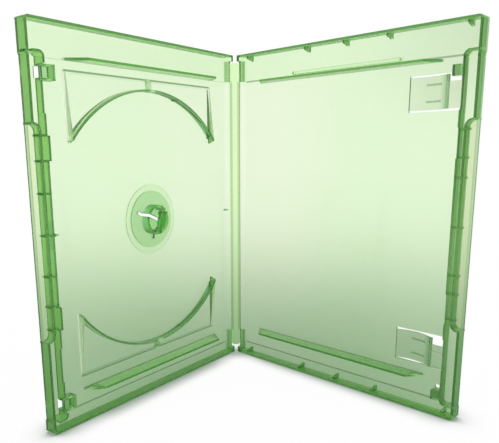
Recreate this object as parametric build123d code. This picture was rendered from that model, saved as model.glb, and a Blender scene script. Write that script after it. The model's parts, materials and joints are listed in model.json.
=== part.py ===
from build123d import *

import math
import os

# A disc case: two moulded covers joined to a narrow spine strip by two living hinges, standing open like a
# book. Millimetres. A cover is drawn lying on its back: X runs from its hinge axis to its free edge, Y up the
# spine and Z from its outer face into the case. The disc cover is drawn the same way and then mirrored.

# Whole case
CASE_HEIGHT = 171.5
COVER_WIDTH = 133.8
COVER_DEPTH = 6.5
WALL = 1.2
PANEL_THICKNESS = 1.0
CLOSING_GAP = 0.1
DISC_SIDE_OPEN = 35.2
BOOKLET_SIDE_OPEN = 46.6
FITTINGS_ABOVE_MIDDLE = 0.85

# Outer face: a shallow recess for the printed card, between a top and a bottom band
CARD_RECESS = 0.6
TOP_BAND = 13.9
BOTTOM_BAND = 5.7
CORNER_RADIUS = 2.0
EDGE_RADIUS = 1.0

# Spine: strip, hinge films and the covers' hinge walls
HINGE_SPAN = 4.4
HINGE_GAP = 0.8
FILM = 0.35
FILM_FROM_TOP = 4.2
FILM_FROM_BOTTOM = 4.5
FILM_BEND_TANGENT = 0.3
STRIP_THICKNESS = 1.0
STRIP_END_PAD = 0.3
STRIP_FROM_TOP = 3.7
STRIP_FROM_BOTTOM = 4.0
STRIP_PAD_FROM_TOP = 14.2
STRIP_PAD_FROM_BOTTOM = 14.4
SPINE_RADIUS = 3.0
HINGE_BLOCK = 2.4
HINGE_BLOCK_TOP = 13.6
HINGE_BLOCK_RADIUS = 0.4
END_BLOCK = 3.1
RIM_END_RADIUS = 1.2

# Free edge: thumb recess, inner wall and the ribs between them
THUMB_LENGTH = 89.0
THUMB_DEPTH = 3.9
THUMB_RADIUS = 2.4
THUMB_LIP = 0.4
THUMB_WALL = 1.0
THUMB_WALL_HEIGHT = 5.7
INNER_WALL_IN = 7.6
INNER_WALL = 1.0
INNER_WALL_TOP = 12.2
INNER_WALL_BOTTOM = 5.1
INNER_WALL_RADIUS = 2.5
INNER_WALL_HEIGHT = 5.0
INNER_WALL_RAISED = 5.8
CROSS_RIB = 0.8
CROSS_RIB_HEIGHT = 4.6

# Long ribs along the top and bottom of both covers
RIB = 1.1
RIB_HEIGHT = 9.4
RIB_START = 14.0
RIB_START_TAPER = 6.0
DISC_RIB_FROM_TOP = 13.0
DISC_RIB_FROM_BOTTOM = 12.9
DISC_RIB_FREE_END = 20.9
DISC_RIB_TAPER = 6.8
BOOKLET_RIB_FROM_TOP = 14.7
BOOKLET_RIB_FROM_BOTTOM = 15.7
BOOKLET_RIB_FREE_END = 17.3
BOOKLET_RIB_TAPER = 5.1
RIB_LEDGE_START = 37.0
RIB_LEDGE_END = 97.0
RIB_LEDGE_RISE = 1.4
RIB_LEDGE_WIDTH = 1.4
RIB_LEDGE_HEIGHT = 3.0

# Disc hub, disc guards and the marks left by the moulding gates
DISC_DIAMETER = 120.0
DISC_HOLE = 15.0
DISC_SLACK = 1.4
HUB_FROM_HINGE = 64.8
HUB_ABOVE_MIDDLE = 1.45
HUB_CLEARANCE = 0.2
HUB_RING_DIAMETER = 34.0
HUB_RING_RISE = 0.25
SEAT_DIAMETER = 28.0
SEAT_RISE = 0.6
POST_RISE = 5.4
POST_WALL = 1.3
POST_ROUND = 1.1
DIMPLE_DIAMETER = 6.0
DIMPLE_DEPTH = 0.7
HUB_SLITS = 3
SLIT_WIDTH = 1.8
SLIT_REACH = 9.2
SLIT_TURN = 24.0
GUARD_HALF_WIDTH = 48.2
GUARD_REACH = 67.0
GUARD_TIP = 37.5
GUARD_TIP_WIDTH = 1.2
GUARD_TIP_SLOPE = 1.5
GUARD_LOW = 0.4
GUARD_HIGH = 3.4
GUARD_WALL = 1.0
GUARD_RIB_WIDTH = 3.4
GUARD_RIB_RISE = 0.5
GUARD_RIB_TO_HINGE = 0.8
GUARD_NUB_ANGLES = (17.0, 48.5)
GUARD_NUB = 0.8
GUARD_NUB_PROUD = 0.5
HINGE_GATE_ALONG = 2.2
HINGE_GATE_ABOVE_HUB = 4.3
FREE_GATE_IN = 11.6
FREE_GATE_BELOW_HUB = 1.1
GATE_LENGTH = 1.8
GATE_WIDTH = 0.8
GATE_RISE = 0.7

# Interlocking tabs and latch pockets at the disc cover's free edge
TAB_FROM_MIDDLE = 35.4
TAB_LENGTH = 10.0
TAB_HEIGHT = 7.4
WALL_END_HEIGHT = 7.2
WALL_END_FREE = 2.6
DISC_RAISED_SPAN = 98.1
DISC_CROSS_RIBS = (0.0, 17.3, 30.4, 40.5)
POCKET_FROM_TOP = 16.9
POCKET_FROM_BOTTOM = 7.9
POCKET_LENGTH = 6.2
POCKET_REACH = 6.0
POCKET_END = 1.2
POCKET_ARM = 0.8
POCKET_HEIGHT = 5.4
POCKET_WINDOW_BESIDE = 1.3
POCKET_WINDOW_BELOW = 2.3
POCKET_CATCH = 1.0
POCKET_SHOULDER = 8.0

# Spring clips, latch posts and gussets of the booklet cover
CLIP_FROM_TOP = 21.2
CLIP_FROM_BOTTOM = 21.8
CLIP_WIDTH = 13.9
CLIP_THICKNESS = 0.8
CLIP_TIP_IN = 31.3
CLIP_CREST_IN = 13.2
CLIP_LOW_IN = 23.0
CLIP_TIP_HEIGHT = 2.8
CLIP_LOW_HEIGHT = 1.2
CLIP_CREST_HEIGHT = 4.8
CLIP_ROOT_CUT = 2.9
CLIP_ROOT_RIB_UP = 0.6
CLIP_FLANGE = 1.0
CLIP_FLANGE_DEPTH = 1.7
CLIP_GAP = 0.8
CLIP_RIB = 0.6
CLIP_RIB_LENGTH = 7.0
CLIP_RIB_RISE = 0.35
CLIP_RIB_SPACING = 7.0
CLIP_RIB_FROM_CREST = 4.0
LATCH_FROM_TOP = 17.7
LATCH_FROM_BOTTOM = 6.7
LATCH_LENGTH = 4.5
LATCH_WIDTH = 3.3
LATCH_IN = 8.6
LATCH_HEIGHT = 4.8
LATCH_HOLE_WIDTH = 2.0
LATCH_HOLE_LENGTH = 1.6
LATCH_HOLE_GAP = 0.3
BOOKLET_RAISED_SPAN = 58.6
BESIDE_CLIP_RAISED = 7.2
BOOKLET_CROSS_RIBS = (0.0, 21.3, 29.6, 41.3)
GUSSETS = (8.0, 46.6, 69.2, 92.0)
LAST_GUSSET_IN = 5.9
GUSSET = 1.0
GUSSET_FOOT = 2.6
GUSSET_HEAD = 1.3

# Worked out from the sizes above
RIM = COVER_DEPTH - CLOSING_GAP
HINGE_DEPTH = COVER_DEPTH - HINGE_SPAN / 2
HINGE_FACE = -FILM / 2
HINGE_END = HINGE_DEPTH - HINGE_GAP / 2
FITTINGS_HEIGHT = CASE_HEIGHT / 2 + FITTINGS_ABOVE_MIDDLE
HUB_HEIGHT = CASE_HEIGHT / 2 + HUB_ABOVE_MIDDLE
PANEL = CARD_RECESS + PANEL_THICKNESS
SINK = WALL / 2
ROOT = PANEL - SINK
RECESS_TOP = CASE_HEIGHT - TOP_BAND
INNER_WALL_FACE = COVER_WIDTH - INNER_WALL_IN
DISC_RADIUS = DISC_DIAMETER / 2 + DISC_SLACK
POST_RADIUS = DISC_HOLE / 2 - HUB_CLEARANCE
POST_TOP = PANEL + SEAT_RISE + POST_RISE
CLIP_CREST = COVER_WIDTH - CLIP_CREST_IN
THROUGH = (-COVER_DEPTH, 2 * COVER_DEPTH)
ON_FLOOR = (Align.CENTER, Align.CENTER, Align.MIN)


def block(along, up, into):
    """A straight-sided block between two distances from the hinge, two heights and two depths."""
    size = (along[1] - along[0], up[1] - up[0], into[1] - into[0])
    return Pos(along[0], up[0], into[0]) * Box(*size, align=(Align.MIN, Align.MIN, Align.MIN))


def about(centre, size):
    """The two ends of a stretch of a given size about its centre."""
    return (centre - size / 2, centre + size / 2)


def near_ends(size, from_bottom, from_top):
    """The lower ends of two like pieces of a given height, one near the bottom and one near the top."""
    return (from_bottom, CASE_HEIGHT - from_top - size)


def up_the_spine(profile, low, high):
    """A profile drawn across the cover, carried up the spine from one height to another."""
    plane = Plane(origin=(0, high, 0), x_dir=(1, 0, 0), z_dir=(0, -1, 0))
    return extrude(plane * profile, amount=high - low, dir=(0, -1, 0))


def along_cover(profile, start, end):
    """A profile drawn up the spine and into the case, carried along the cover."""
    plane = Plane(origin=(start, 0, 0), x_dir=(0, 1, 0), z_dir=(1, 0, 0))
    return extrude(plane * profile, amount=end - start, dir=(1, 0, 0))


def into_case(outline, low, high):
    """An outline drawn on the cover's face, raised from one depth to another."""
    return extrude(Pos(0, 0, low) * outline, amount=high - low, dir=(0, 0, 1))


def round_corner(outline, x, y, radius):
    """The outline with the corner nearest to a point rounded."""
    corner = outline.vertices().sort_by_distance((x, y, 0))[0]
    return fillet(corner, radius)


def cover_section(face, inside):
    """Hinge wall, panel and free-edge wall of a cover in one open profile, between the panel's two faces."""
    hinge_inside = HINGE_FACE + WALL
    section = Polygon(
        (HINGE_FACE, HINGE_END),
        (HINGE_FACE, face),
        (COVER_WIDTH, face),
        (COVER_WIDTH, RIM),
        (COVER_WIDTH - WALL, RIM),
        (COVER_WIDTH - WALL, inside),
        (hinge_inside, inside),
        (hinge_inside, HINGE_END),
        align=None,
    )
    section = round_corner(section, HINGE_FACE, face, SPINE_RADIUS)
    section = round_corner(section, hinge_inside, inside, SPINE_RADIUS - WALL)
    return round_corner(section, COVER_WIDTH, face, EDGE_RADIUS)


def hinge_block_section(face):
    """The thick hinge wall beside the ends of the spine strip."""
    inside = HINGE_FACE + HINGE_BLOCK
    section = Polygon(
        (HINGE_FACE, HINGE_END),
        (HINGE_FACE, face),
        (inside, face),
        (inside, HINGE_END),
        align=None,
    )
    section = round_corner(section, HINGE_FACE, face, HINGE_BLOCK - HINGE_BLOCK_RADIUS)
    return round_corner(section, inside, HINGE_END, HINGE_BLOCK_RADIUS)


def rim_section(reach):
    """The top or bottom rim from the hinge to a distance along the cover."""
    section = Polygon((HINGE_FACE, RIM), (HINGE_FACE, 0), (reach, 0), (reach, RIM), align=None)
    section = round_corner(section, HINGE_FACE, RIM, RIM_END_RADIUS)
    return round_corner(section, HINGE_FACE, 0, HINGE_BLOCK - HINGE_BLOCK_RADIUS)


def corner_cuts():
    """What the rounded corners of the free edge take off."""
    square = CORNER_RADIUS * 2
    cuts = []
    for height, towards_middle in ((0, CORNER_RADIUS), (CASE_HEIGHT, -CORNER_RADIUS)):
        corner = Pos(COVER_WIDTH, height) * Rectangle(square, square)
        centre = Pos(COVER_WIDTH - CORNER_RADIUS, height + towards_middle)
        cuts.append(into_case(corner - centre * Circle(CORNER_RADIUS), *THROUGH))
    return cuts


def thumb_outline(margin):
    """The thumb recess in the free edge, or its wall's outer line."""
    size = (2 * (THUMB_DEPTH + margin), THUMB_LENGTH + 2 * margin)
    return Pos(COVER_WIDTH, FITTINGS_HEIGHT) * RectangleRounded(*size, THUMB_RADIUS + margin)


def shell():
    """What the two covers share: panel, bands, rims, hinge walls and the thumb recess."""
    bands = (
        (0, BOTTOM_BAND, 0, WALL),
        (BOTTOM_BAND, RECESS_TOP, CARD_RECESS, PANEL),
        (RECESS_TOP, CASE_HEIGHT, 0, WALL),
    )
    pieces = [up_the_spine(cover_section(face, inside), low, high) for low, high, face, inside in bands]
    blocks = (
        (END_BLOCK, BOTTOM_BAND, 0),
        (BOTTOM_BAND, HINGE_BLOCK_TOP, CARD_RECESS),
        (RECESS_TOP, CASE_HEIGHT - END_BLOCK, 0),
    )
    pieces += [up_the_spine(hinge_block_section(face), low, high) for low, high, face in blocks]
    for reach, thickness in ((COVER_WIDTH, WALL), (HINGE_FACE + HINGE_BLOCK, END_BLOCK)):
        pieces.append(up_the_spine(rim_section(reach), 0, thickness))
        pieces.append(up_the_spine(rim_section(reach), CASE_HEIGHT - thickness, CASE_HEIGHT))
    cover = pieces[0].fuse(*pieces[1:])
    cover -= into_case(thumb_outline(0), PANEL + THUMB_LIP, COVER_DEPTH)
    thumb_wall = into_case(thumb_outline(THUMB_WALL) - thumb_outline(0), ROOT, THUMB_WALL_HEIGHT)
    cover += thumb_wall & block((0, COVER_WIDTH), (0, CASE_HEIGHT), (0, COVER_DEPTH))
    for cut in corner_cuts():
        cover -= cut
    return cover


def inner_wall_outline(inset):
    """The rounded outline that the inner wall follows beside the free edge."""
    low = INNER_WALL_BOTTOM + inset
    high = CASE_HEIGHT - INNER_WALL_TOP - inset
    half = INNER_WALL_IN - inset
    outline = RectangleRounded(2 * half, high - low, INNER_WALL_RADIUS - inset)
    return Pos(COVER_WIDTH, (low + high) / 2) * outline


def inner_wall(height):
    """The inner wall beside the free edge, turning into the outer wall at both ends."""
    wall = into_case(inner_wall_outline(0) - inner_wall_outline(INNER_WALL), ROOT, height)
    return wall & block((0, COVER_WIDTH - SINK), (0, CASE_HEIGHT), THROUGH)


def wall_top(low, high, top):
    """A taller stretch of the inner wall between two heights up the spine."""
    return block((INNER_WALL_FACE, INNER_WALL_FACE + INNER_WALL), (low, high), (PANEL, top))


def cross_ribs(from_middle):
    """Short ribs between the inner wall and the thumb recess's wall, mirrored about the middle."""
    span = (INNER_WALL_FACE + INNER_WALL / 2, COVER_WIDTH - THUMB_DEPTH - THUMB_WALL / 2)
    heights = {FITTINGS_HEIGHT + offset for offset in from_middle}
    heights |= {FITTINGS_HEIGHT - offset for offset in from_middle}
    return [block(span, about(height, CROSS_RIB), (ROOT, CROSS_RIB_HEIGHT)) for height in sorted(heights)]


def long_rib(low, end, taper):
    """A long rib along the cover, with both ends tapered."""
    side = Polygon(
        (RIB_START, ROOT),
        (end, ROOT),
        (end, PANEL),
        (end - taper, RIB_HEIGHT),
        (RIB_START + RIB_START_TAPER, RIB_HEIGHT),
        (RIB_START, PANEL),
        align=None,
    )
    return up_the_spine(side, low, low + RIB)


def hub():
    """The sprung disc post on its seat and ring."""
    ring = Cylinder(HUB_RING_DIAMETER / 2, SINK + HUB_RING_RISE, align=ON_FLOOR)
    seat = Cylinder(SEAT_DIAMETER / 2, SINK + SEAT_RISE, align=ON_FLOOR)
    half = Polygon(
        (0, ROOT),
        (POST_RADIUS, ROOT),
        (POST_RADIUS, POST_TOP),
        (DIMPLE_DIAMETER / 2, POST_TOP),
        (0, POST_TOP - DIMPLE_DEPTH),
        align=None,
    )
    half = round_corner(half, POST_RADIUS, POST_TOP, POST_ROUND)
    return Pos(0, 0, ROOT) * (ring + seat) + revolve(Plane.XZ * half, Axis.Z)


def hub_hollow():
    """The hollow behind the post, with the slits that part its three sprung segments."""
    depth = POST_TOP - POST_WALL - DIMPLE_DEPTH
    hollow = Cylinder(POST_RADIUS - POST_WALL, depth, align=ON_FLOOR)
    slit = Rectangle(SLIT_REACH, SLIT_WIDTH, align=(Align.MIN, Align.CENTER))
    slit += Pos(SLIT_REACH, 0) * Circle(SLIT_WIDTH / 2)
    for turn in range(HUB_SLITS):
        angle = SLIT_TURN + 360 / HUB_SLITS * turn
        hollow += into_case(Rot(0, 0, angle) * slit, *THROUGH)
    return hollow


def guard_ramp(floor, lowered):
    """What lies above a floor and under a guard's sloping face, or under that face lowered."""
    ramp = Polygon(
        (GUARD_REACH, floor),
        (GUARD_REACH, PANEL + GUARD_LOW - lowered),
        (GUARD_TIP, PANEL + GUARD_HIGH - lowered),
        (GUARD_TIP, floor),
        align=None,
    )
    return along_cover(ramp, -GUARD_HALF_WIDTH, GUARD_HALF_WIDTH)


def guard_blank(inset):
    """The rectangle that a guard is cut from, drawn in from its edges."""
    size = (2 * (GUARD_HALF_WIDTH - inset), GUARD_REACH - GUARD_TIP - 2 * inset)
    return Pos(0, GUARD_TIP + inset) * Rectangle(*size, align=(Align.CENTER, Align.MIN))


def guard_hollow():
    """The hollow behind the upper disc guard, which leaves it as thick as the panel."""
    outline = guard_blank(GUARD_WALL) - Circle(DISC_RADIUS + GUARD_WALL)
    return into_case(outline, *THROUGH) & guard_ramp(-COVER_DEPTH, PANEL_THICKNESS)


def disc_guard():
    """The upper disc guard: a plate that rises to its two tips, with a level rim and two nubs round the disc."""
    opening = Circle(DISC_RADIUS) & Rectangle(2 * (GUARD_HALF_WIDTH - GUARD_TIP_WIDTH), 2 * GUARD_REACH)
    top = PANEL + GUARD_HIGH
    guard = into_case(guard_blank(0) - opening, 0, COVER_DEPTH) & guard_ramp(ROOT, 0)
    guard += into_case((Circle(DISC_RADIUS + GUARD_WALL) - opening) & guard_blank(0), ROOT, top)
    rib_top = PANEL + GUARD_LOW + GUARD_RIB_RISE
    guard += block(about(-GUARD_RIB_TO_HINGE, GUARD_RIB_WIDTH), (DISC_RADIUS, GUARD_REACH), (ROOT, rib_top))
    proud = (DISC_RADIUS - GUARD_NUB_PROUD, DISC_RADIUS + GUARD_WALL / 2)
    for angle in GUARD_NUB_ANGLES:
        guard += Rot(0, 0, angle) * block(about(0, GUARD_NUB), proud, (ROOT, top))
    tip_slope = Polygon(
        (GUARD_TIP, PANEL),
        (GUARD_TIP, top),
        (GUARD_TIP + GUARD_TIP_SLOPE, top),
        align=None,
    )
    return guard - along_cover(tip_slope, -GUARD_HALF_WIDTH, GUARD_HALF_WIDTH)


def latch_pocket(low):
    """A U-shaped pocket on the hinge side of the inner wall that takes a post of the other cover."""
    end = INNER_WALL_FACE - POCKET_REACH
    high = low + POCKET_LENGTH
    root = INNER_WALL_FACE + INNER_WALL / 2
    pocket = block((end, end + POCKET_END), (low, high), (ROOT, POCKET_HEIGHT))
    for start in (low, high - POCKET_ARM):
        pocket += block((end, root), (start, start + POCKET_ARM), (ROOT, INNER_WALL_HEIGHT))
    return pocket


def disc_cover():
    """The cover that holds the disc."""
    cover = shell() + inner_wall(INNER_WALL_HEIGHT)
    cover += wall_top(*about(FITTINGS_HEIGHT, DISC_RAISED_SPAN), INNER_WALL_RAISED)
    for centre in (FITTINGS_HEIGHT - TAB_FROM_MIDDLE, FITTINGS_HEIGHT + TAB_FROM_MIDDLE):
        cover += wall_top(*about(centre, TAB_LENGTH), TAB_HEIGHT)
    cover = cover.fuse(*cross_ribs(DISC_CROSS_RIBS))
    for low in near_ends(RIB, DISC_RIB_FROM_BOTTOM, DISC_RIB_FROM_TOP):
        cover += long_rib(low, COVER_WIDTH - DISC_RIB_FREE_END, DISC_RIB_TAPER)
    window = (INNER_WALL_FACE - POCKET_WINDOW_BELOW, INNER_WALL_FACE + POCKET_WINDOW_BESIDE)
    under_catch = (-COVER_DEPTH, INNER_WALL_HEIGHT - POCKET_CATCH)
    pockets = near_ends(POCKET_LENGTH, POCKET_FROM_BOTTOM, POCKET_FROM_TOP)
    for low in pockets:
        cover -= block(window, (low + POCKET_ARM, low + POCKET_LENGTH - POCKET_ARM), under_catch)
        cover += latch_pocket(low)
    ends = inner_wall(WALL_END_HEIGHT) & block((0, COVER_WIDTH - WALL_END_FREE), (0, CASE_HEIGHT), THROUGH)
    cover += ends - block((0, COVER_WIDTH), (pockets[0], pockets[1] + POCKET_LENGTH), THROUGH)
    shoulder = pockets[0] + POCKET_LENGTH
    cover += wall_top(shoulder, shoulder + POCKET_SHOULDER, INNER_WALL_RAISED)
    between_guards = Pos(HUB_FROM_HINGE, FITTINGS_HEIGHT, 0)
    guard = disc_guard()
    hollow = guard_hollow()
    cover += between_guards * guard
    cover += between_guards * mirror(guard, about=Plane.XZ)
    cover -= between_guards * hollow
    cover -= between_guards * mirror(hollow, about=Plane.XZ)
    gates = (
        (HINGE_GATE_ALONG, HUB_HEIGHT + HINGE_GATE_ABOVE_HUB),
        (COVER_WIDTH - FREE_GATE_IN, HUB_HEIGHT - FREE_GATE_BELOW_HUB),
    )
    for along, up in gates:
        cover += block(about(along, GATE_LENGTH), about(up, GATE_WIDTH), (ROOT, PANEL + GATE_RISE))
    at_hub = Pos(HUB_FROM_HINGE, HUB_HEIGHT, 0)
    cover += at_hub * hub()
    return cover - at_hub * hub_hollow()


def clip_tongue(rise):
    """Side view of a clip's tongue, from its tip by the panel to its crest, with its top raised by a rise."""
    tip = (COVER_WIDTH - CLIP_TIP_IN, CLIP_TIP_HEIGHT)
    low = (COVER_WIDTH - CLIP_LOW_IN, CLIP_LOW_HEIGHT)
    line = Spline(tip, low, (CLIP_CREST, CLIP_CREST_HEIGHT))
    top = Pos(0, rise) * line
    under = Pos(0, -CLIP_THICKNESS) * line
    return make_face([top, Line(top @ 1, under @ 1), under, Line(under @ 0, top @ 0)])


def clip(centre):
    """A spring clip: a tongue from the inner wall, down to the panel and up again at its tip."""
    root = INNER_WALL_FACE + INNER_WALL / 2
    bar = Polygon(
        (CLIP_CREST - CLIP_FLANGE, CLIP_CREST_HEIGHT - CLIP_THICKNESS),
        (root, INNER_WALL_HEIGHT - CLIP_THICKNESS),
        (root, INNER_WALL_HEIGHT),
        (CLIP_CREST - CLIP_FLANGE, CLIP_CREST_HEIGHT - CLIP_THICKNESS / 2),
        align=None,
    )
    low, high = about(centre, CLIP_WIDTH)
    tongue = up_the_spine(clip_tongue(0), low, high)
    tongue += up_the_spine(bar, low, high - CLIP_ROOT_CUT)
    flange = (CLIP_CREST_HEIGHT - CLIP_FLANGE_DEPTH, CLIP_CREST_HEIGHT - CLIP_THICKNESS / 2)
    tongue += block((CLIP_CREST - CLIP_FLANGE, CLIP_CREST), (low, high), flange)
    tongue += up_the_spine(Pos(0, CLIP_RIB_RISE) * bar, *about(centre + CLIP_ROOT_RIB_UP, CLIP_RIB))
    ribs_end = CLIP_CREST - CLIP_RIB_FROM_CREST
    ribs = block((ribs_end - CLIP_RIB_LENGTH, ribs_end), (low, high), (0, COVER_DEPTH))
    for height in about(centre, CLIP_RIB_SPACING):
        tongue += up_the_spine(clip_tongue(CLIP_RIB_RISE), *about(height, CLIP_RIB)) & ribs
    return tongue


def clip_window(centre):
    """The opening in the panel that a clip moves in."""
    span = (COVER_WIDTH - CLIP_TIP_IN - CLIP_GAP, INNER_WALL_FACE)
    return block(span, about(centre, CLIP_WIDTH + 2 * CLIP_GAP), THROUGH)


def gussets(along):
    """The pair of small braces between the two rims and the panel."""
    foot = WALL / 2
    side = Polygon(
        (foot, SINK),
        (WALL + GUSSET_FOOT, SINK),
        (WALL + GUSSET_HEAD, RIM - SINK),
        (foot, RIM - SINK),
        align=None,
    )
    brace = along_cover(side, *about(along, GUSSET))
    return [brace, mirror(brace, about=Plane.XZ.offset(-CASE_HEIGHT / 2))]


def booklet_cover():
    """The cover that holds the booklet."""
    cover = shell() + inner_wall(INNER_WALL_HEIGHT)
    cover += wall_top(*about(FITTINGS_HEIGHT, BOOKLET_RAISED_SPAN), INNER_WALL_RAISED)
    cover = cover.fuse(*cross_ribs(BOOKLET_CROSS_RIBS))
    for low in near_ends(RIB, BOOKLET_RIB_FROM_BOTTOM, BOOKLET_RIB_FROM_TOP):
        cover += long_rib(low, COVER_WIDTH - BOOKLET_RIB_FREE_END, BOOKLET_RIB_TAPER)
    over_rib = CASE_HEIGHT - BOOKLET_RIB_FROM_TOP + RIB_LEDGE_RISE
    ledge = (over_rib, over_rib + RIB_LEDGE_WIDTH)
    cover += block((RIB_LEDGE_START, RIB_LEDGE_END), ledge, (SINK, RIB_LEDGE_HEIGHT))
    clips = near_ends(CLIP_WIDTH, CLIP_FROM_BOTTOM, CLIP_FROM_TOP)
    for low in clips:
        centre = low + CLIP_WIDTH / 2
        cover -= clip_window(centre)
        cover += clip(centre)
    lower_window_top = clips[0] + CLIP_WIDTH + CLIP_GAP
    upper_window_bottom = clips[1] - CLIP_GAP
    for low in (lower_window_top, upper_window_bottom - BESIDE_CLIP_RAISED):
        cover += wall_top(low, low + BESIDE_CLIP_RAISED, INNER_WALL_RAISED)
    latch = (COVER_WIDTH - LATCH_IN - LATCH_WIDTH, COVER_WIDTH - LATCH_IN)
    posts = near_ends(LATCH_LENGTH, LATCH_FROM_BOTTOM, LATCH_FROM_TOP)
    for low in posts:
        cover += block(latch, (low, low + LATCH_LENGTH), (ROOT, LATCH_HEIGHT))
    hole = posts[0] + LATCH_LENGTH + LATCH_HOLE_GAP
    cover -= block(about(sum(latch) / 2, LATCH_HOLE_WIDTH), (hole, hole + LATCH_HOLE_LENGTH), THROUGH)
    for along in (*GUSSETS, COVER_WIDTH - LAST_GUSSET_IN):
        cover = cover.fuse(*gussets(along))
    return cover


def spine_strip():
    """The narrow strip between the two living hinges, with a pad at each end."""
    width = HINGE_SPAN - HINGE_GAP
    inner = -HINGE_FACE - STRIP_THICKNESS
    low = STRIP_FROM_BOTTOM
    high = CASE_HEIGHT - STRIP_FROM_TOP
    bar = Box(width, STRIP_THICKNESS, high - low, align=(Align.CENTER, Align.MIN, Align.MIN))
    strip = Pos(0, inner, low) * bar
    for start, end in ((low, STRIP_PAD_FROM_BOTTOM), (CASE_HEIGHT - STRIP_PAD_FROM_TOP, high)):
        pad = Box(width, STRIP_END_PAD, end - start, align=(Align.CENTER, Align.MAX, Align.MIN))
        strip += Pos(0, inner, start) * pad
    return strip


def standing(cover, side, angle):
    """A cover turned from lying on its back to standing at its hinge, open by an angle."""
    upright = Rot(90, 0, 0) * Pos(0, 0, -HINGE_DEPTH)
    return Pos(side * HINGE_SPAN / 2, 0, 0) * Rot(0, 0, side * (angle - 90)) * upright * cover


def hinge_film(side, angle):
    """The thin web that joins a cover's hinge wall to the strip, bent as far as the cover stands open."""
    axis = Vector(side * HINGE_SPAN / 2, 0, FILM_FROM_BOTTOM)
    strip_edge = axis + Vector(-side, 0) * (HINGE_GAP / 2)
    wall_end = axis + Vector(side, 0).rotate(Axis.Z, side * angle) * (HINGE_GAP / 2)
    bend = FILM_BEND_TANGENT / math.tan(math.radians(angle / 2))
    path = FilletPolyline(strip_edge, axis, wall_end, radius=bend)
    start = Plane(origin=strip_edge, x_dir=(0, 0, 1), z_dir=(side, 0, 0))
    height = CASE_HEIGHT - FILM_FROM_TOP - FILM_FROM_BOTTOM
    web = Rectangle(height, FILM, align=(Align.MIN, Align.CENTER))
    return sweep(start * web, path=path)


os.makedirs("parts", exist_ok=True)
case = {
    "disc_cover": standing(mirror(disc_cover(), about=Plane.YZ), -1, DISC_SIDE_OPEN),
    "booklet_cover": standing(booklet_cover(), 1, BOOKLET_SIDE_OPEN),
    "spine_strip": spine_strip(),
    "disc_side_hinge_film": hinge_film(-1, DISC_SIDE_OPEN),
    "booklet_side_hinge_film": hinge_film(1, BOOKLET_SIDE_OPEN),
}
middle = Compound(list(case.values())).bounding_box().center()
to_origin = Pos(-middle.X, -middle.Y, 0)
for name, solid in case.items():
    export_step(to_origin * solid, f"parts/{name}.step")
for side in (-1, 1):
    print("hinge axis", round(side * HINGE_SPAN / 2 - middle.X, 4), round(-middle.Y, 4))
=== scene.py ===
import json
import math

import bpy
from mathutils import Matrix, Vector


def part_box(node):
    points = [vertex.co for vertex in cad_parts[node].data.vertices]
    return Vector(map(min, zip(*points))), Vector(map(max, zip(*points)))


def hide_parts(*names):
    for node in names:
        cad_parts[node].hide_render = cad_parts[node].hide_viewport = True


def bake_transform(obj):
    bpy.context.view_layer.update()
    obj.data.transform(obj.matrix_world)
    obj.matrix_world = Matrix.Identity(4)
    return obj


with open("model.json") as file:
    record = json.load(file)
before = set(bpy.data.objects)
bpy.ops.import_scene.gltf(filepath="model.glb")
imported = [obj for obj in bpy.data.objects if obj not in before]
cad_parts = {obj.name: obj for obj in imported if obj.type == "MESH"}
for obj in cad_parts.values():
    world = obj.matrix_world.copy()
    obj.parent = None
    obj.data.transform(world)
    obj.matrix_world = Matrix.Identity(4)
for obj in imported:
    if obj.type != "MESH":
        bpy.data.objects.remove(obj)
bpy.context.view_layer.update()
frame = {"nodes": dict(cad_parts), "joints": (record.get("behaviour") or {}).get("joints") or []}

# An open disc case of clear green plastic. Metres throughout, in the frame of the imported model.
MM = 0.001
RIGHT = Vector((1, 0, 0))
BACK = Vector((0, 1, 0))
UP = Vector((0, 0, 1))
HINGES = {joint["name"]: joint for joint in frame["joints"]}
SIDES = {"disc_cover": -1, "booklet_cover": 1}

# Hinge films: the gap they span, how deep in the case their axis lies, and their own sizes
HINGE_GAP = 0.8 * MM
HINGE_INTO = 4.3 * MM
FILM = 0.35 * MM
FILM_STRAIGHT = 0.1 * MM
FILM_BEND_STEPS = 8
WELD = 0.001 * MM

# Plastic: what a millimetre of it takes from red, green and blue, its gloss, its clouds and its shadow
TAKEN = (0.06, 0.004, 0.10)
REFRACTION = 1.33
CLARITY = 0.94
GLOSS_ROUGHNESS = 0.04
CLOUD_ROUGHNESS = 0.05
CLOUD_SCALE = 45.0
CLOUD_DETAIL = 3.0
WALL_MATT = 0.315
SHADOW_TINT = (0.90, 0.97, 0.88, 1)
SHADOW_CLEARED = 0.9

# Tints that differ between the covers: painted shade that deepens the walls, tints of the thumb recess, and
# painted light that pales the panel by the hinge
WALL_PAINTED_SHADES = {"disc_cover": (0.39, 0.65, 0.31, 1), "booklet_cover": (0.30, 0.56, 0.24, 1)}
FREE_WALL_PAINTED_SHADES = {"disc_cover": (0.42, 0.72, 0.30, 1), "booklet_cover": (0.23, 0.47, 0.16, 1)}
OUTER_WALL_PAINTED_SHADES = {"disc_cover": (0.38, 0.64, 0.28, 1), "booklet_cover": (0.33, 0.60, 0.28, 1)}
THUMB_TINTS = {"disc_cover": (0.85, 0.94, 0.68, 1), "booklet_cover": (0.78, 0.85, 0.60, 1)}
PALE_PAINTED_LIGHTS = {"disc_cover": (0.925, 1.0, 0.84, 1), "booklet_cover": (0.955, 1.0, 0.86, 1)}
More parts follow.
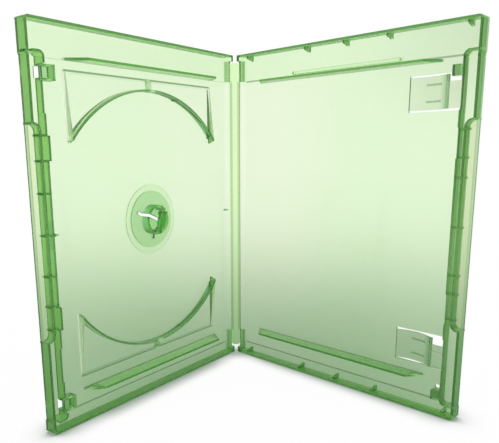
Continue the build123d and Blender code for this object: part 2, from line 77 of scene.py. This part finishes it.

# Tints of the bare panel and of single features. The tints of tops, rib tips, the foot, painted lines, the
# disc's arc, the post's wall, the clip's crest and ribs and the strip's edges are painted shade; the guard
# side's tint is painted light
CLEAR = (0.90, 1.0, 0.81, 1)
CLOUDED = (0.86, 0.985, 0.77, 1)
TOP_PAINTED_SHADE = (0.11, 0.24, 0.10, 1)
TIP_PAINTED_SHADE = (0.03, 0.15, 0.02, 1)
LOWER_TIP_PAINTED_SHADE = (0.20, 0.42, 0.14, 1)
FOOT_PAINTED_SHADE = (0.16, 0.43, 0.10, 1)
FOOT_TOP_PAINTED_SHADE = (0.06, 0.16, 0.05, 1)
LIP_TINT = (0.58, 0.74, 0.48, 1)
CROSS_PAINTED_SHADE = (0.14, 0.33, 0.11, 1)
EDGE_PAINTED_SHADE = (0.48, 0.56, 0.43, 1)
GUARD_EDGE_PAINTED_SHADE = (0.30, 0.45, 0.28, 1)
GUARD_SIDE_PAINTED_LIGHT = (1.0, 1.0, 0.94, 1)
GUARD_RIB_TINT = (0.55, 0.78, 0.48, 1)
ARC_PAINTED_SHADE = (0.22, 0.48, 0.22, 1)
POCKET_TINT = (0.45, 0.75, 0.38, 1)
RING_TINT = (0.80, 0.95, 0.70, 1)
SEAT_TINT = (0.56, 0.80, 0.48, 1)
POST_TINT = (0.44, 0.73, 0.37, 1)
POST_WALL_PAINTED_SHADE = (0.28, 0.64, 0.26, 1)
GATE_TINT = (0.20, 0.42, 0.16, 1)
CLIP_TINT = (0.78, 0.90, 0.68, 1)
CLIP_CREST_PAINTED_SHADE = (0.42, 0.62, 0.38, 1)
CLIP_RIB_PAINTED_SHADE = (0.46, 0.62, 0.42, 1)
STRIP_TINT = (0.80, 1.0, 0.64, 1)
STRIP_EDGE_PAINTED_SHADE = (0.58, 0.72, 0.42, 1)

# How squarely a level face looks in or out, how wide a tint's edge is, and half of a painted line
LEVEL = (0.5, 0.95)
SHARP = 0.3 * MM
SOFT = 1.2 * MM
LINE_HALF = 0.3 * MM

# Places on a cover: distances from its hinge, up from its lower edge, and into the case from its outer face
HINGE_WALL = 3.0 * MM
THIN_WALL = (13.6 * MM, 157.6 * MM)
BLOCK_TOP = 168.4 * MM
PALE_SPAN = (3.5 * MM, 25.0 * MM)
PALE_EDGE = 60.0 * MM
PALE_TOP = (154.0 * MM, 157.6 * MM)
INNER_WALL = (126.0 * MM, 126.2 * MM)
OUTER_WALL = (130.6 * MM, 131.2 * MM)
FOOT = (1.3 * MM, 2.0 * MM)
TOP = (4.85 * MM, 5.0 * MM)
INNER_WALL_TOP = (4.3 * MM, 4.5 * MM)
THUMB = (42.1 * MM, 131.1 * MM)
THUMB_WALL = (129.6 * MM, 130.0 * MM)
LIP = (131.7 * MM, 132.3 * MM)
LOWER_RIBS = {"disc_cover": (12.9 * MM, 14.0 * MM), "booklet_cover": (15.7 * MM, 16.8 * MM)}
UPPER_RIBS = {"disc_cover": (157.4 * MM, 158.5 * MM), "booklet_cover": (155.7 * MM, 156.8 * MM)}
RIB_ROOT = (1.8 * MM, 2.1 * MM)
HINGE_TIP = (13.8 * MM, 20.0 * MM)
FREE_TIPS = {"disc_cover": (106.1 * MM, 113.2 * MM), "booklet_cover": (111.4 * MM, 116.8 * MM)}
RECESS_EDGES = {"disc_cover": (5.7 * MM,), "booklet_cover": (5.7 * MM, 157.6 * MM)}
RECESS_SPAN = (3.0 * MM, 125.5 * MM)

# Cross ribs: how far above and below the disc's middle they lie, and how far they reach
CROSS_RIBS = {
    "disc_cover": (0.0, 17.3 * MM, 30.4 * MM, 40.5 * MM),
    "booklet_cover": (0.0, 21.3 * MM, 29.6 * MM, 41.3 * MM),
}
CROSS_RIB_SPAN = (125.9 * MM, 129.9 * MM)

# The disc cover's own features
DISC = (64.8 * MM, 86.6 * MM)
DISC_RADIUS = 61.4 * MM
GUARD_SPAN = (16.6 * MM, 113.0 * MM)
GUARD_EDGES = (19.6 * MM, 153.6 * MM)
GUARD_REACH = (37.5 * MM, 67.0 * MM)
GUARD_RIB_SPAN = (62.3 * MM, 65.7 * MM)
POCKETS = ((7.9 * MM, 14.1 * MM), (148.4 * MM, 154.6 * MM))
POCKET_SPAN = (120.2 * MM, 124.0 * MM)
HUB = (64.8 * MM, 87.2 * MM)
RING_RADIUS = 17.0 * MM
SEAT_RADIUS = 14.0 * MM
POST_RADIUS = 7.5 * MM
POST_ROOT = (2.4 * MM, 2.8 * MM)
HINGE_GATE_UP = 86.4 * MM
HINGE_GATE_SPAN = (1.3 * MM, 3.6 * MM)
FREE_GATE = (122.6 * MM, 86.1 * MM)
FREE_GATE_RADIUS = 0.6 * MM

# The booklet cover's own features
CLIP_MIDDLES = (28.75 * MM, 143.35 * MM)
CLIP_SPAN = (102.5 * MM, 126.2 * MM)
CLIP_HALF = 6.95 * MM
CLIP_CREST = (115.5 * MM, 120.4 * MM)
CLIP_RIB_SPAN = (109.6 * MM, 116.6 * MM)
CLIP_RIB_OFFSET = 3.5 * MM
LATCHES = ((6.7 * MM, 11.2 * MM), (149.3 * MM, 153.8 * MM))
LATCH_SPAN = (120.8 * MM, 125.6 * MM)
LATCH_TOP = (4.0 * MM, 4.4 * MM)
LEDGE = (158.2 * MM, 159.6 * MM)
LEDGE_MIDDLE = 67.0 * MM
LEDGE_HALF = 30.0 * MM

# The spine strip's long edges: how far from its middle line, and from where to where they rise
STRIP_EDGE = (1.2 * MM, 1.6 * MM)
STRIP_EDGE_SPAN = (14.0 * MM, 157.0 * MM)

# Camera: the photograph's frame, the eye and its turn about the three axes
PHOTO_WIDTH = 499
PHOTO_HEIGHT = 443
FOCAL_PIXELS = 576.6
CENTRE_PIXEL = (215.4, 270.9)
SENSOR = 36.0
NEAR_CLIP = 0.01
EYE = Vector((-6.25, -283.3, 120.4)) * MM
YAW = math.radians(-2.65)
PITCH = math.radians(-11.80)
ROLL = math.radians(-0.71)

# Floor: its colours, with painted shade that plastic shows near the case and far to the sides, how far from
# the case they reach, and the painted shadow at the case's foot
FLOOR_HALF = 3.0
FLOOR_DROP = 0.3 * MM
FLOOR_WHITE = (1, 1, 1, 1)
FLOOR_LIT = (0.95, 0.95, 0.95, 1)
FLOOR_SIDE_PAINTED_SHADE = (0.35, 0.35, 0.35, 1)
FLOOR_PAINTED_SHADE = (0.31, 0.41, 0.325, 1)
FLOOR_NEAR = 0.28
FLOOR_FAR = (0.4, 1.6)
FLOOR_GLOW = (0.95, 1.0)
FLOOR_GLOW_SPAN = (0.2, 0.6)
FLOOR_FOOT_PAINTED_SHADOW = (0.26, 0.33, 0.26, 1)
FOOT_SHADE = 17.0 * MM
FOOT_SHADE_SAMPLES = 16
FOOT_OPEN = (0.4, 1.0)

# Surround and lamp
SURROUND_WHITE = (1, 1, 1, 1)
AMBIENT = 0.7
SIDEWAYS = (0.12, 0.64)
SURROUND_DIM = 0.35
RIGHT_DIM = 0.22
RIGHT_FIELD = (0.12, 0.42)
UPPER_FIELD = (0.0, 0.2)
LAMP_PLACE = Vector((0.1, 0.15, 1.1))
LAMP_AIM = Vector((0, 0, 0.05))
LAMP_SIZE = 1.2
LAMP_POWER = 5.0


class Value:
    """A number, place or colour that varies over a surface. Sums and products of numbers add Math nodes."""

    def __init__(self, finish, socket):
        self.finish = finish
        self.socket = socket

    def _math(self, operation, *terms):
        return self.finish.add("ShaderNodeMath", {"operation": operation}, dict(enumerate(terms)))

    def __add__(self, other):
        return self._math("ADD", self, other)

    __radd__ = __add__

    def __sub__(self, other):
        return self._math("SUBTRACT", self, other)

    def __rsub__(self, other):
        return self._math("SUBTRACT", other, self)

    def __mul__(self, other):
        return self._math("MULTIPLY", self, other)

    __rmul__ = __mul__

    def __truediv__(self, other):
        return self._math("DIVIDE", self, other)

    def __rtruediv__(self, other):
        return self._math("DIVIDE", other, self)

    def __abs__(self):
        return self._math("ABSOLUTE", self)

    def larger(self, other):
        return self._math("MAXIMUM", self, other)

    def ramp(self, start, end, first=0.0, last=1.0):
        """Eased from a first to a last value while the number goes from start to end."""
        return self.finish.add(
            "ShaderNodeMapRange",
            {"interpolation_type": "SMOOTHSTEP"},
            {"Value": self, "From Min": start, "From Max": end, "To Min": first, "To Max": last},
        )

    def fall(self, start, end):
        """Eased from 1 to 0 while the number goes from start to end."""
        return self.ramp(start, end, 1.0, 0.0)

    def between(self, low, high, edge=SHARP):
        """1 from a low to a high value and 0 beyond an edge on either side."""
        return self.ramp(low - edge, low) * self.fall(high, high + edge)


class Finish:
    """A material or world under construction, with one way of adding nodes."""

    def __init__(self, owner):
        owner.use_nodes = True
        owner.node_tree.nodes.clear()
        self.owner = owner
        self.nodes = owner.node_tree.nodes
        self.links = owner.node_tree.links

    def add(self, kind, settings=None, sockets=None, output=0):
        """Adds a node, sets what it is, then gives its sockets values or links. Returns one output."""
        node = self.nodes.new(kind)
        for name, setting in (settings or {}).items():
            setattr(node, name, setting)
        for name, value in (sockets or {}).items():
            if isinstance(value, Value):
                self.links.new(value.socket, node.inputs[name])
            else:
                node.inputs[name].default_value = value
        if len(node.outputs) == 0:
            return None
        return Value(self, node.outputs[output])

    def coordinates(self, kind):
        return self.add("ShaderNodeTexCoord", output=kind)

    def ray(self, kind):
        """1 on rays of a kind and 0 on others."""
        return self.add("ShaderNodeLightPath", output="Is " + kind + " Ray")

    def ray_by_plastic(self):
        """1 on rays that plastic passes on or mirrors."""
        return self.ray("Transmission").larger(self.ray("Glossy"))

    def length(self, place):
        return self.add("ShaderNodeVectorMath", {"operation": "LENGTH"}, {0: place}, "Value")

    def dot(self, place, direction):
        sockets = {0: place, 1: direction}
        return self.add("ShaderNodeVectorMath", {"operation": "DOT_PRODUCT"}, sockets, "Value")

    def noise(self, place, scale, detail):
        """Noise from 0 to 1 with a given number of waves to the metre."""
        sockets = {"Vector": place, "Scale": scale, "Detail": detail}
        return self.add("ShaderNodeTexNoise", None, sockets, "Fac")

    def blend_colours(self, share, first, second):
        return self.add(
            "ShaderNodeMix",
            {"data_type": "RGBA"},
            {"Factor": share, "A": first, "B": second},
            "Result",
        )


class Plastic(Finish):
    """Clear green plastic of one moulding, tinted by how far along, up and into the case a place lies; many
    tints are painted shade or painted light.
    """

    def __init__(self, name, foot, along, into, clear, clouded):
        super().__init__(bpy.data.materials.new(name))
        place = self.coordinates("Object")
        self.along = self.dot(place, along) - foot.dot(along)
        self.up = self.dot(place, UP)
        self.into = self.dot(place, into) - foot.dot(into)
        self.level = abs(self.dot(self.coordinates("Normal"), into)).ramp(*LEVEL)
        self.steep = 1 - self.level
        clouds = self.noise(place, CLOUD_SCALE, CLOUD_DETAIL)
        self.tint = self.blend_colours(clouds, clouded, clear)
        self.roughness = GLOSS_ROUGHNESS + CLOUD_ROUGHNESS * clouds

    def paint(self, share, tint):
        self.tint = self.blend_colours(share, self.tint, tint)

    def frost(self, share):
        """Makes a place matt, wholly where the share is 1."""
        self.roughness = self.roughness.larger(share)

    def off_centre(self, centre):
        """The square of the distance from a point of the face."""
        along = self.along - centre[0]
        up = self.up - centre[1]
        return along * along + up * up

    def inside(self, centre, radius, edge=SHARP):
        """1 inside a circle on the face."""
        return self.off_centre(centre).fall(radius ** 2, (radius + edge) ** 2)

    def around(self, centre, radius):
        """1 on a thin circle on the face."""
        return self.off_centre(centre).between((radius - SHARP) ** 2, (radius + SHARP) ** 2, SHARP ** 2)

    def patch(self, span, rise):
        """1 on a rectangle of the face, from its span along and its rise."""
        return self.along.between(*span) * self.up.between(*rise)

    def line(self, across, place, span):
        """1 on a thin line along the face, at a place across it."""
        return across.between(place - LINE_HALF, place + LINE_HALF) * self.along.between(*span)

    def done(self):
        """The material: glossy, clear and faintly clouded, with a pale green shadow."""
        surface = self.add(
            "ShaderNodeBsdfPrincipled",
            sockets={
                "Base Color": self.tint,
                "Roughness": self.roughness,
                "IOR": REFRACTION,
                "Transmission Weight": CLARITY,
            },
        )
        cleared = self.add("ShaderNodeBsdfTransparent", sockets={"Color": SHADOW_TINT})
        share = SHADOW_CLEARED * self.ray("Shadow")
        shown = self.add("ShaderNodeMixShader", sockets={0: share, 1: surface, 2: cleared})
        most = max(TAKEN)
        kept = tuple(1 - part / most for part in TAKEN) + (1,)
        depth = self.add("ShaderNodeVolumeAbsorption", sockets={"Color": kept, "Density": most / MM})
        self.add("ShaderNodeOutputMaterial", sockets={"Surface": shown, "Volume": depth})
        return self.owner


def rest_turn(cover):
    """How far a cover is turned from closed as it stands at rest."""
    return math.radians(-HINGES[cover + "_hinge"]["range_deg"][0])


def on_cover(cover, along, up, into):
    """A place on a cover as it stands at rest."""
    axis = HINGES[cover + "_hinge"]["pos_m"]
    side = SIDES[cover]
    turn = rest_turn(cover)
    outward = Vector((side * math.sin(turn), -math.cos(turn), 0))
    inward = Vector((-side * math.cos(turn), -math.sin(turn), 0))
    return Vector((axis[0], axis[1], up)) + along * outward + (into - HINGE_INTO) * inward


def paint_walls(plastic, cover, wall):
    """Painted shade on a cover's walls and their tops, deeper green at the case's foot, and the tints of
    the thumb recess outside the inner wall.
    """
    at_foot = plastic.up.fall(*FOOT)
    beyond = plastic.along.ramp(*INNER_WALL)
    # Painted shade: the walls deep green, as plastic seen edge-on looks darker
    plastic.paint(wall, WALL_PAINTED_SHADES[cover])
    plastic.paint(wall * beyond, FREE_WALL_PAINTED_SHADES[cover])
    plastic.paint(wall * plastic.along.ramp(*OUTER_WALL), OUTER_WALL_PAINTED_SHADES[cover])
    # Painted shade: the walls darker green at the case's foot
    plastic.paint(wall * at_foot, FOOT_PAINTED_SHADE)
    by_thumb = plastic.level * plastic.up.between(*THUMB)
    plastic.paint(by_thumb * plastic.along.ramp(*THUMB_WALL), THUMB_TINTS[cover])
    plastic.paint(by_thumb * plastic.along.ramp(*LIP), LIP_TINT)
    # Painted shade: the walls' tops deep green, darker still at the foot
    top = plastic.level * plastic.into.ramp(*TOP).larger(beyond * plastic.into.ramp(*INNER_WALL_TOP))
    plastic.paint(top, TOP_PAINTED_SHADE)
    plastic.paint(top * at_foot, FOOT_TOP_PAINTED_SHADE)


def paint_ribs(plastic, cover, wall):
    """Painted shade on the tips of a cover's two long ribs. Its walls are slightly matt, and these ribs are
    not.
    """
    matt = wall
    # Painted shade: darker green on the ribs' tips
    for ribs, tint in ((LOWER_RIBS, LOWER_TIP_PAINTED_SHADE), (UPPER_RIBS, TIP_PAINTED_SHADE)):
        rib = plastic.up.between(*ribs[cover]) * plastic.into.ramp(*RIB_ROOT)
        matt = matt * (1 - rib)
        for tip in (HINGE_TIP, FREE_TIPS[cover]):
            plastic.paint(rib * plastic.along.between(*tip), tint)
    plastic.frost(WALL_MATT * matt)


def paint_lines(plastic, cover):
    """Painted shade lines along the edges of a cover's card recess, and across its inner wall where the
    cross ribs stand behind it.
    """
    # Painted shade: thin dark lines at the recess's steps and at the cross ribs
    for edge in RECESS_EDGES[cover]:
        plastic.paint(plastic.line(plastic.up, edge, RECESS_SPAN), EDGE_PAINTED_SHADE)
    from_middle = abs(plastic.up - DISC[1])
    for offset in CROSS_RIBS[cover]:
        plastic.paint(plastic.line(from_middle, offset, CROSS_RIB_SPAN), CROSS_PAINTED_SHADE)


def cover_plastic(cover, guard_side=None):
    """Plastic of a cover: pale in the panel, with painted light by the hinge, and painted shade that makes
    the walls and their tops deep green.
    """
    foot = on_cover(cover, 0, 0, 0)
    along = (on_cover(cover, 1, 0, 0) - foot).normalized()
    into = (on_cover(cover, 0, 0, 1) - foot).normalized()
    plastic = Plastic(cover + "_plastic", foot, along, into, CLEAR, CLOUDED)
    # Painted light: the panel paler by the hinge, fading away from it
    by_hinge = plastic.along.between(*PALE_SPAN, PALE_EDGE) * plastic.up.fall(*PALE_TOP)
    plastic.paint(by_hinge, PALE_PAINTED_LIGHTS[cover])
    off_blocks = plastic.up.between(*THIN_WALL) + plastic.up.ramp(BLOCK_TOP, BLOCK_TOP + SHARP)
    thin = plastic.along.fall(HINGE_WALL, HINGE_WALL + SOFT) * off_blocks
    wall = plastic.steep * (1 - thin)
    if guard_side:
        beside = abs(plastic.along - guard_side).fall(SHARP, 2 * SHARP)
        beside = beside * abs(plastic.up - DISC[1]).between(*GUARD_REACH)
        wall = wall * (1 - beside)
        plastic.frost(beside)
        # Painted light: the guard's free side near white, in place of the dark edge its wall would show
        plastic.paint(beside, GUARD_SIDE_PAINTED_LIGHT)
    paint_walls(plastic, cover, wall)
    paint_ribs(plastic, cover, wall)
    paint_lines(plastic, cover)
    return plastic


def disc_cover_plastic():
    """Plastic of the cover with the disc guards, painted shade on their edges, on the arc round the disc
    and on the hub post's wall, the latch pockets, the hub and two gate marks.
    """
    plastic = cover_plastic("disc_cover", GUARD_SPAN[1])
    # Painted shade: dark lines along the guards' edges
    for edge in GUARD_EDGES:
        plastic.paint(plastic.line(plastic.up, edge, GUARD_SPAN), GUARD_EDGE_PAINTED_SHADE)
    # Painted shade: the arc round the disc deep green
    plastic.paint(plastic.steep * plastic.around(DISC, DISC_RADIUS), ARC_PAINTED_SHADE)
    on_guards = abs(plastic.up - DISC[1]).between(DISC_RADIUS, GUARD_REACH[1])
    plastic.paint(on_guards * plastic.along.between(*GUARD_RIB_SPAN), GUARD_RIB_TINT)
    for pocket in POCKETS:
        plastic.paint(plastic.level * plastic.patch(POCKET_SPAN, pocket), POCKET_TINT)
    plastic.paint(plastic.inside(HUB, RING_RADIUS, SOFT), RING_TINT)
    plastic.paint(plastic.inside(HUB, SEAT_RADIUS), SEAT_TINT)
    post = plastic.inside(HUB, POST_RADIUS) * plastic.into.ramp(*POST_ROOT)
    plastic.paint(post, POST_TINT)
    # Painted shade: the post's wall deeper green
    plastic.paint(post * plastic.steep, POST_WALL_PAINTED_SHADE)
    plastic.paint(plastic.line(plastic.up, HINGE_GATE_UP, HINGE_GATE_SPAN), GATE_TINT)
    plastic.paint(plastic.inside(FREE_GATE, FREE_GATE_RADIUS), GATE_TINT)
    return plastic.done()


def booklet_cover_plastic():
    """Plastic of the cover with the booklet clips and painted shade on their crests and ribs, the latch
    posts with painted shade on their tops, and the ledge on its upper rib.
    """
    plastic = cover_plastic("booklet_cover")
    for middle in CLIP_MIDDLES:
        from_middle = abs(plastic.up - middle)
        tongue = from_middle.fall(CLIP_HALF, CLIP_HALF + SHARP) * plastic.along.between(*CLIP_SPAN)
        plastic.paint(plastic.level * tongue, CLIP_TINT)
        # Painted shade: the clip's bend and its two ribs darker green
        bend = plastic.along.ramp(*CLIP_CREST) * plastic.along.fall(CLIP_CREST[1], CLIP_CREST[1] + SHARP)
        plastic.paint(tongue * bend, CLIP_CREST_PAINTED_SHADE)
        plastic.paint(plastic.line(from_middle, CLIP_RIB_OFFSET, CLIP_RIB_SPAN), CLIP_RIB_PAINTED_SHADE)
    for latch in LATCHES:
        post = plastic.level * plastic.patch(LATCH_SPAN, latch)
        # Painted shade: the latch posts' tops deep green
        plastic.paint(post * plastic.into.ramp(*LATCH_TOP), TOP_PAINTED_SHADE)
    ledge_ends = abs(plastic.along - LEDGE_MIDDLE).between(LEDGE_HALF - SHARP, LEDGE_HALF + SHARP)
    plastic.frost(ledge_ends * plastic.up.between(*LEDGE))
    return plastic.done()


def strip_plastic():
    """Plastic of the spine strip and the hinge films, with painted shade deepening the strip's long edges
    and beyond.
    """
    low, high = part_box("spine_strip")
    foot = Vector(((low.x + high.x) / 2, high.y, low.z))
    plastic = Plastic("spine_plastic", foot, RIGHT, -BACK, STRIP_TINT, STRIP_TINT)
    # Painted shade: darker green along the strip's long edges and on the films beyond them
    edges = abs(plastic.along).ramp(*STRIP_EDGE) * plastic.up.between(*STRIP_EDGE_SPAN, SOFT)
    plastic.paint(edges, STRIP_EDGE_PAINTED_SHADE)
    return plastic.done()


def deselect():
    bpy.ops.object.select_all(action="DESELECT")


def hinge_film(name, cover):
    """A hinge film at rest: straight from the strip, bent about its axis, straight to the cover's wall."""
    side = SIDES[cover]
    turn = rest_turn(cover)
    low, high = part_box(name)
    axis = Vector(HINGES[cover + "_hinge"]["pos_m"])
    tangent = HINGE_GAP / 2 - FILM_STRAIGHT
    radius = tangent / math.tan(turn / 2)
    start = Vector((axis.x - side * HINGE_GAP / 2, axis.y, low.z))
    onward = Vector((side * math.cos(turn), math.sin(turn), 0))
    height = high.z - low.z
    deselect()
    bpy.ops.mesh.primitive_plane_add(size=1.0, location=(start.x, start.y, low.z + height / 2))
    film = bpy.context.object
    film.name = cover + "_film"
    film.rotation_euler = (0, math.pi / 2, 0)
    film.scale = (height, FILM, 1)
    bpy.ops.object.transform_apply(location=True, rotation=True, scale=True)
    bpy.ops.object.mode_set(mode="EDIT")
    bpy.ops.mesh.select_all(action="SELECT")
    bpy.ops.mesh.extrude_region_move(TRANSFORM_OT_translate={"value": (side * FILM_STRAIGHT, 0, 0)})
    centre = (start.x + side * FILM_STRAIGHT, axis.y + radius, low.z)
    bpy.ops.mesh.spin(steps=FILM_BEND_STEPS, angle=-side * turn, center=centre, axis=UP, dupli=False)
    bpy.ops.mesh.extrude_region_move(TRANSFORM_OT_translate={"value": onward * FILM_STRAIGHT})
    bpy.ops.mesh.select_all(action="SELECT")
    bpy.ops.mesh.remove_doubles(threshold=WELD)
    bpy.ops.mesh.normals_make_consistent(inside=False)
    bpy.ops.object.mode_set(mode="OBJECT")
    end = axis + onward * (HINGE_GAP / 2)
    return film, start, Vector((end.x, end.y, low.z))


def floor_paper():
    """Pale paper: white to the eye, with a painted shadow at the case's foot. Plastic shows it with painted
    shade, greyer near the case and far to the sides.
    """
    finish = Finish(bpy.data.materials.new("floor_paper"))
    place = finish.coordinates("Object")
    away = finish.length(place)
    seen = finish.ray("Camera")
    through = finish.ray_by_plastic()
    near = 1 / (1 + away * away / FLOOR_NEAR ** 2)
    depth = finish.dot(place, BACK) / away
    sideways = (depth * depth).fall(*SIDEWAYS) * away.ramp(*FLOOR_FAR)
    # Painted shade seen through the plastic: grey far to the sides, and grey-green near the case
    glow = finish.blend_colours(through * sideways, FLOOR_WHITE, FLOOR_SIDE_PAINTED_SHADE)
    glow = finish.blend_colours(through * near, glow, FLOOR_PAINTED_SHADE)
    open_sky = finish.add(
        "ShaderNodeAmbientOcclusion",
        {"samples": FOOT_SHADE_SAMPLES},
        {"Distance": FOOT_SHADE},
        "AO",
    )
    # Painted shadow at the case's foot, drawn into the floor's glow where ambient occlusion is low
    glow = finish.blend_colours(seen * open_sky.fall(*FOOT_OPEN), glow, FLOOR_FOOT_PAINTED_SHADOW)
    lit = finish.add("ShaderNodeBsdfDiffuse", sockets={"Color": FLOOR_LIT})
    white = finish.add("ShaderNodeEmission", sockets={"Color": glow, "Strength": 1.0})
    share = seen * away.ramp(*FLOOR_GLOW_SPAN, *FLOOR_GLOW) + through
    shown = finish.add("ShaderNodeMixShader", sockets={0: share, 1: lit, 2: white})
    finish.add("ShaderNodeOutputMaterial", sockets={"Surface": shown})
    return finish.owner


def floor():
    deselect()
    bpy.ops.mesh.primitive_plane_add(size=2 * FLOOR_HALF, location=(0, 0, -FLOOR_DROP))
    paper = bpy.context.object
    paper.name = "floor"
    paper.data.materials.append(floor_paper())


def surround():
    """White to the eye. Plastic shows it dimmer at the sides and at the upper right."""
    world = bpy.data.worlds.new("surround")
    finish = Finish(world)
    direction = finish.coordinates("Generated")
    depth = finish.dot(direction, BACK)
    right = finish.dot(direction, RIGHT)
    height = finish.dot(direction, UP)
    upper_right = right.ramp(*RIGHT_FIELD) * height.ramp(*UPPER_FIELD)
    field = (depth * depth).ramp(*SIDEWAYS, SURROUND_DIM, 1.0) - RIGHT_DIM * upper_right
    seen = finish.ray("Camera")
    through = finish.ray_by_plastic()
    strength = AMBIENT + (1 - AMBIENT) * seen + through * (field - AMBIENT)
    light = finish.add("ShaderNodeBackground", sockets={"Color": SURROUND_WHITE, "Strength": strength})
    finish.add("ShaderNodeOutputWorld", sockets={"Surface": light})
    bpy.context.scene.world = world


def overhead_lamp():
    """A wide soft lamp above the case."""
    data = bpy.data.lights.new("overhead", "AREA")
    data.size = LAMP_SIZE
    data.energy = LAMP_POWER
    lamp = bpy.data.objects.new("overhead", data)
    lamp.location = LAMP_PLACE
    lamp.rotation_euler = (LAMP_AIM - LAMP_PLACE).to_track_quat("-Z", "Y").to_euler()
    bpy.context.scene.collection.objects.link(lamp)


def camera():
    """The camera that took the photograph, fitted to the case's edges."""
    forward = Vector((math.sin(YAW) * math.cos(PITCH), math.cos(YAW) * math.cos(PITCH), math.sin(PITCH)))
    right = Vector((math.cos(YAW), -math.sin(YAW), 0))
    up = right.cross(forward)
    rolled_right = math.cos(ROLL) * right + math.sin(ROLL) * up
    rolled_up = math.cos(ROLL) * up - math.sin(ROLL) * right
    data = bpy.data.cameras.new("camera")
    data.sensor_width = SENSOR
    data.lens = FOCAL_PIXELS / PHOTO_WIDTH * SENSOR
    data.shift_x = (PHOTO_WIDTH / 2 - CENTRE_PIXEL[0]) / PHOTO_WIDTH
    data.shift_y = (CENTRE_PIXEL[1] - PHOTO_HEIGHT / 2) / PHOTO_WIDTH
    data.clip_start = NEAR_CLIP
    eye = bpy.data.objects.new("camera", data)
    turn = Matrix((rolled_right, rolled_up, -forward)).transposed()
    eye.matrix_world = Matrix.Translation(EYE) @ turn.to_4x4()
    bpy.context.scene.collection.objects.link(eye)
    bpy.context.scene.camera = eye


green_strip = strip_plastic()
plastics = {"disc_cover": disc_cover_plastic(), "booklet_cover": booklet_cover_plastic()}
for name, node in frame["nodes"].items():
    node.data.materials.clear()
    node.data.materials.append(plastics.get(name, green_strip))

for cover in SIDES:
    film_node = cover.replace("cover", "side_hinge_film")
    film, start, end = hinge_film(film_node, cover)
    film.data.materials.append(green_strip)
    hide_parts(film_node)
    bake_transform(film)

camera()
surround()
floor()
overhead_lamp()
bpy.context.scene.view_settings.view_transform = "Standard"
